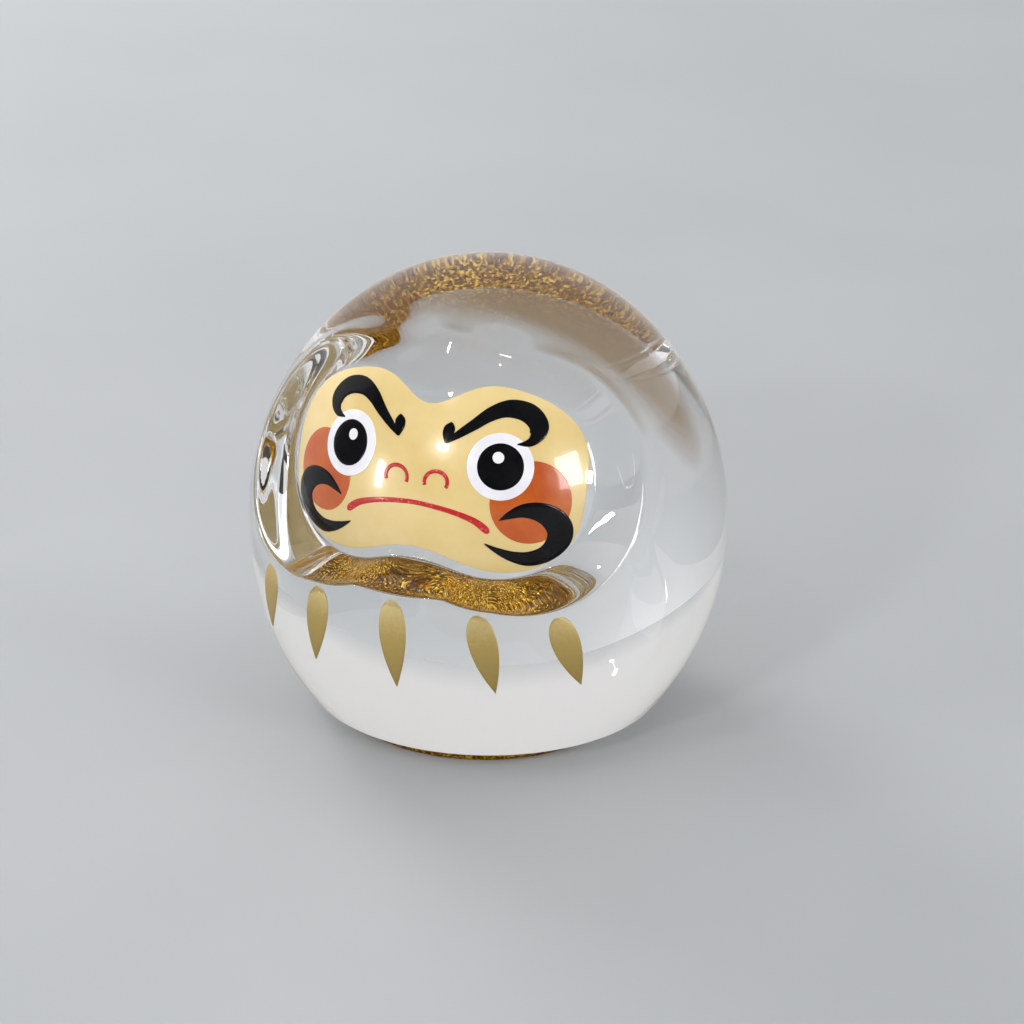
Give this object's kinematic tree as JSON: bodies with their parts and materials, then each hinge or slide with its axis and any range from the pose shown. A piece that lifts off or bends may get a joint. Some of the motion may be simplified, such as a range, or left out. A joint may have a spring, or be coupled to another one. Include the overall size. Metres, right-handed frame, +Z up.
{
  "type": "daruma doll paperweight",
  "caption": "Solid clear glass daruma doll with a hooded face recess, enamelled scowling face, gold robe strokes and a gold-flecked foot.",
  "frame": {"origin": "centre of the flat underside of the gold-flecked foot", "axes": "+Z up, -Y the way the face looks, +X the doll's own left"},
  "size_m": [0.06, 0.0602, 0.058],
  "materials": {
    "clear_glass": "polished clear crystal",
    "gold_flecks": "gold glass flecks fused under the foot",
    "cream_enamel": "glossy fired enamel",
    "orange_enamel": "glossy fired enamel",
    "white_enamel": "glossy fired enamel",
    "black_enamel": "glossy fired enamel",
    "red_enamel": "glossy fired enamel with fine glitter",
    "gold_enamel": "satin gold lustre"
  },
  "bodies": {
    "root": {"glass_body": "clear_glass", "gold_fleck_base": "gold_flecks", "face_ground": "cream_enamel", "cheek_left": "orange_enamel", "cheek_right": "orange_enamel", "eye_white_left": "white_enamel", "eye_white_right": "white_enamel", "pupil_left": "black_enamel", "pupil_right": "black_enamel", "pupil_glint_left": "white_enamel", "pupil_glint_right": "white_enamel", "brow_left": "black_enamel", "brow_right": "black_enamel", "whisker_left": "black_enamel", "whisker_right": "black_enamel", "nostril_left": "red_enamel", "nostril_right": "red_enamel", "mouth": "red_enamel", "robe_stroke_1": "gold_enamel", "robe_stroke_2": "gold_enamel", "robe_stroke_3": "gold_enamel", "robe_stroke_4": "gold_enamel", "robe_stroke_5": "gold_enamel"}
  },
  "joints": []
}
